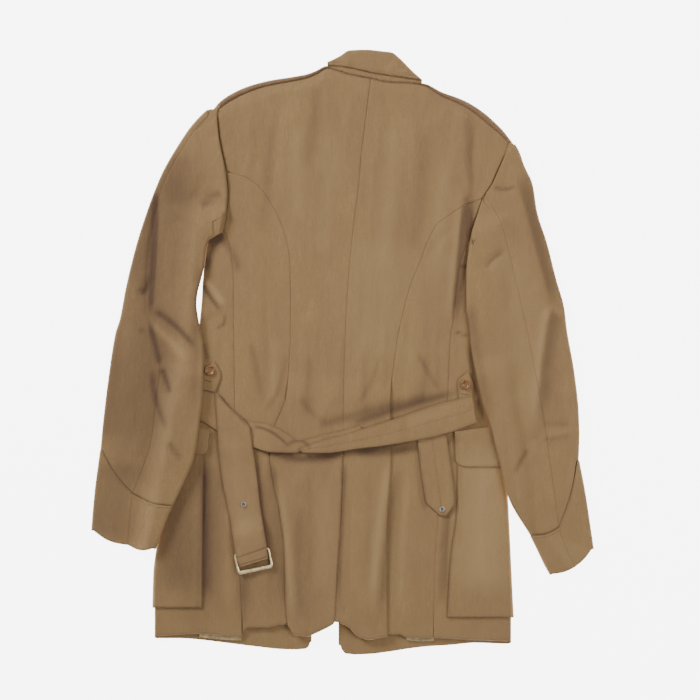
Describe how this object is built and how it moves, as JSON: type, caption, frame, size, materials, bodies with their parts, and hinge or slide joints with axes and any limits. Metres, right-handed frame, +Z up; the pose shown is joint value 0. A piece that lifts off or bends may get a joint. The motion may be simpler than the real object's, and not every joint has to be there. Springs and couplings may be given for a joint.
{
  "type": "dress uniform jacket",
  "caption": "Belted officer's service jacket in tan wool cloth, laid flat with its back up, sleeves at the sides, cloth belt with brass buckle loose at the waist.",
  "frame": {"origin": "middle of the laid jacket's bounding box, on the surface that it lies on", "axes": "+X to the right of the laid jacket, +Y towards its collar, +Z up from the surface; the jacket's back faces +Z and its left sleeve lies towards -X"},
  "size_m": [0.728, 0.8755, 0.0235],
  "materials": {
    "cloth": "tan wool twill, matt",
    "lining": "pale cotton, matt",
    "horn": "brown horn, polished",
    "steel": "dull nickel",
    "brass": "bright, worn"
  },
  "bodies": {
    "root": {"back_left": "cloth", "back_right": "cloth", "side_back_left": "cloth", "side_back_right": "cloth", "front_left": "cloth", "front_right": "cloth", "under_sleeve_left": "cloth", "under_sleeve_right": "cloth", "top_sleeve_left": "cloth", "top_sleeve_right": "cloth", "cuff_left": "cloth", "cuff_right": "cloth", "collar_fall": "cloth", "collar_stand": "cloth", "shoulder_strap_left": "cloth", "shoulder_strap_right": "cloth", "pocket_left": "cloth", "pocket_right": "cloth", "pocket_flap_left": "cloth", "pocket_flap_right": "cloth", "belt_side": "cloth", "belt_left": "cloth", "belt_right": "cloth", "belt_tip": "cloth", "belt_buckle_end": "cloth", "tab_left": "cloth", "tab_right": "cloth", "lining_left": "lining", "lining_right": "lining", "button_left": "horn", "button_right": "horn", "eyelet_buckle_end": "steel", "eyelet_tip": "steel", "buckle_frame": "brass"}
  },
  "joints": []
}
